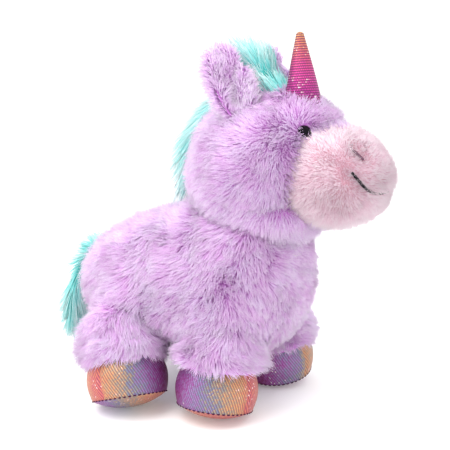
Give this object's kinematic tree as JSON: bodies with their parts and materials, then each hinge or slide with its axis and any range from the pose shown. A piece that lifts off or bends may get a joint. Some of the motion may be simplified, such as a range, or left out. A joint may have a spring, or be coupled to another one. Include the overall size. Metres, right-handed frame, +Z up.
{
  "type": "plush unicorn",
  "caption": "Standing stuffed unicorn with lavender plush, pale pink muzzle, turquoise hair, soft foil horn and padded foil hooves; head, ears, horn, tail and legs bend at their seams.",
  "frame": {"origin": "middle of the bounding box on the floor the soles stand on", "axes": "+Z up, the unicorn faces -Y, its left side is +X"},
  "size_m": [0.166, 0.2426, 0.2346],
  "materials": {
    "lavender_plush": "long brushed pile",
    "pink_plush": "short brushed pile",
    "turquoise_plush": "long loose pile",
    "foil": "knitted fabric with rows of iridescent foil dots",
    "fibre": "loose white fibre",
    "black_thread": "embroidery thread",
    "grey_thread": "embroidery thread",
    "eye": "polished",
    "washer": "moulded"
  },
  "bodies": {
    "torso": {"body_cover": "lavender_plush", "body_stuffing": "fibre"},
    "neck": {"neck_stuffing": "fibre"},
    "head": {"head_cover": "lavender_plush", "head_stuffing": "fibre", "muzzle_cover": "pink_plush", "muzzle_stuffing": "fibre", "mouth_stitching": "black_thread", "mane": "turquoise_plush", "forelock": "turquoise_plush", "left_eye": "eye", "left_eye_washer": "washer", "left_nostril_stitching": "grey_thread", "right_eye": "eye", "right_eye_washer": "washer", "right_nostril_stitching": "grey_thread"},
    "horn": {"horn_cover": "foil", "horn_stuffing": "fibre"},
    "tail": {"tail": "turquoise_plush"},
    "left_ear": {"left_ear_front_panel": "lavender_plush", "left_ear_back_panel": "lavender_plush"},
    "right_ear": {"right_ear_front_panel": "lavender_plush", "right_ear_back_panel": "lavender_plush"},
    "front_left_leg": {"front_left_leg_cover": "lavender_plush", "front_left_leg_stuffing": "fibre", "front_left_hoof_outer_panel": "foil", "front_left_hoof_inner_panel": "foil", "front_left_sole": "foil"},
    "front_right_leg": {"front_right_leg_cover": "lavender_plush", "front_right_leg_stuffing": "fibre", "front_right_hoof_outer_panel": "foil", "front_right_hoof_inner_panel": "foil", "front_right_sole": "foil"},
    "rear_left_leg": {"rear_left_leg_cover": "lavender_plush", "rear_left_leg_stuffing": "fibre", "rear_left_hoof_outer_panel": "foil", "rear_left_hoof_inner_panel": "foil", "rear_left_sole": "foil"},
    "rear_right_leg": {"rear_right_leg_cover": "lavender_plush", "rear_right_leg_stuffing": "fibre", "rear_right_hoof_outer_panel": "foil", "rear_right_hoof_inner_panel": "foil", "rear_right_sole": "foil"}
  },
  "joints": [
    {"name": "neck_turn", "type": "hinge", "parent": "torso", "child": "neck", "pos_m": [0, -0.04232, 0.152], "axis": [0, 0, 1], "range_deg": [-35, 35], "stiffness_Nm_per_rad": 0.8},
    {"name": "head_nod", "type": "hinge", "parent": "neck", "child": "head", "pos_m": [0, -0.04232, 0.152], "axis": [1, 0, 0], "range_deg": [-16, 8], "stiffness_Nm_per_rad": 1.2},
    {"name": "horn_bend", "type": "hinge", "parent": "head", "child": "horn", "pos_m": [0, -0.0661, 0.19671], "axis": [1, 0, 0], "range_deg": [-9, 9], "stiffness_Nm_per_rad": 0.05},
    {"name": "left_ear_fold", "type": "hinge", "parent": "head", "child": "left_ear", "pos_m": [0.03174, -0.0401, 0.18992], "axis": [0.7399, 0.6209, -0.2588], "range_deg": [-4, 30], "stiffness_Nm_per_rad": 0.03},
    {"name": "right_ear_fold", "type": "hinge", "parent": "head", "child": "right_ear", "pos_m": [-0.03174, -0.0401, 0.18992], "axis": [0.7399, -0.6209, 0.2588], "range_deg": [-4, 30], "stiffness_Nm_per_rad": 0.03},
    {"name": "tail_lift", "type": "hinge", "parent": "torso", "child": "tail", "pos_m": [0, 0.08563, 0.09001], "axis": [1, 0, 0], "range_deg": [0, 55]},
    {"name": "front_left_leg_swing", "type": "hinge", "parent": "torso", "child": "front_left_leg", "pos_m": [0.033, -0.02932, 0.044], "axis": [1, 0, 0], "range_deg": [-12, 2], "stiffness_Nm_per_rad": 0.8},
    {"name": "front_right_leg_swing", "type": "hinge", "parent": "torso", "child": "front_right_leg", "pos_m": [-0.033, -0.02932, 0.044], "axis": [1, 0, 0], "range_deg": [-12, 2], "stiffness_Nm_per_rad": 0.8},
    {"name": "rear_left_leg_swing", "type": "hinge", "parent": "torso", "child": "rear_left_leg", "pos_m": [0.052, 0.03368, 0.044], "axis": [1, 0, 0], "range_deg": [-2, 12], "stiffness_Nm_per_rad": 0.8},
    {"name": "rear_right_leg_swing", "type": "hinge", "parent": "torso", "child": "rear_right_leg", "pos_m": [-0.052, 0.03368, 0.044], "axis": [1, 0, 0], "range_deg": [-2, 12], "stiffness_Nm_per_rad": 0.8}
  ]
}
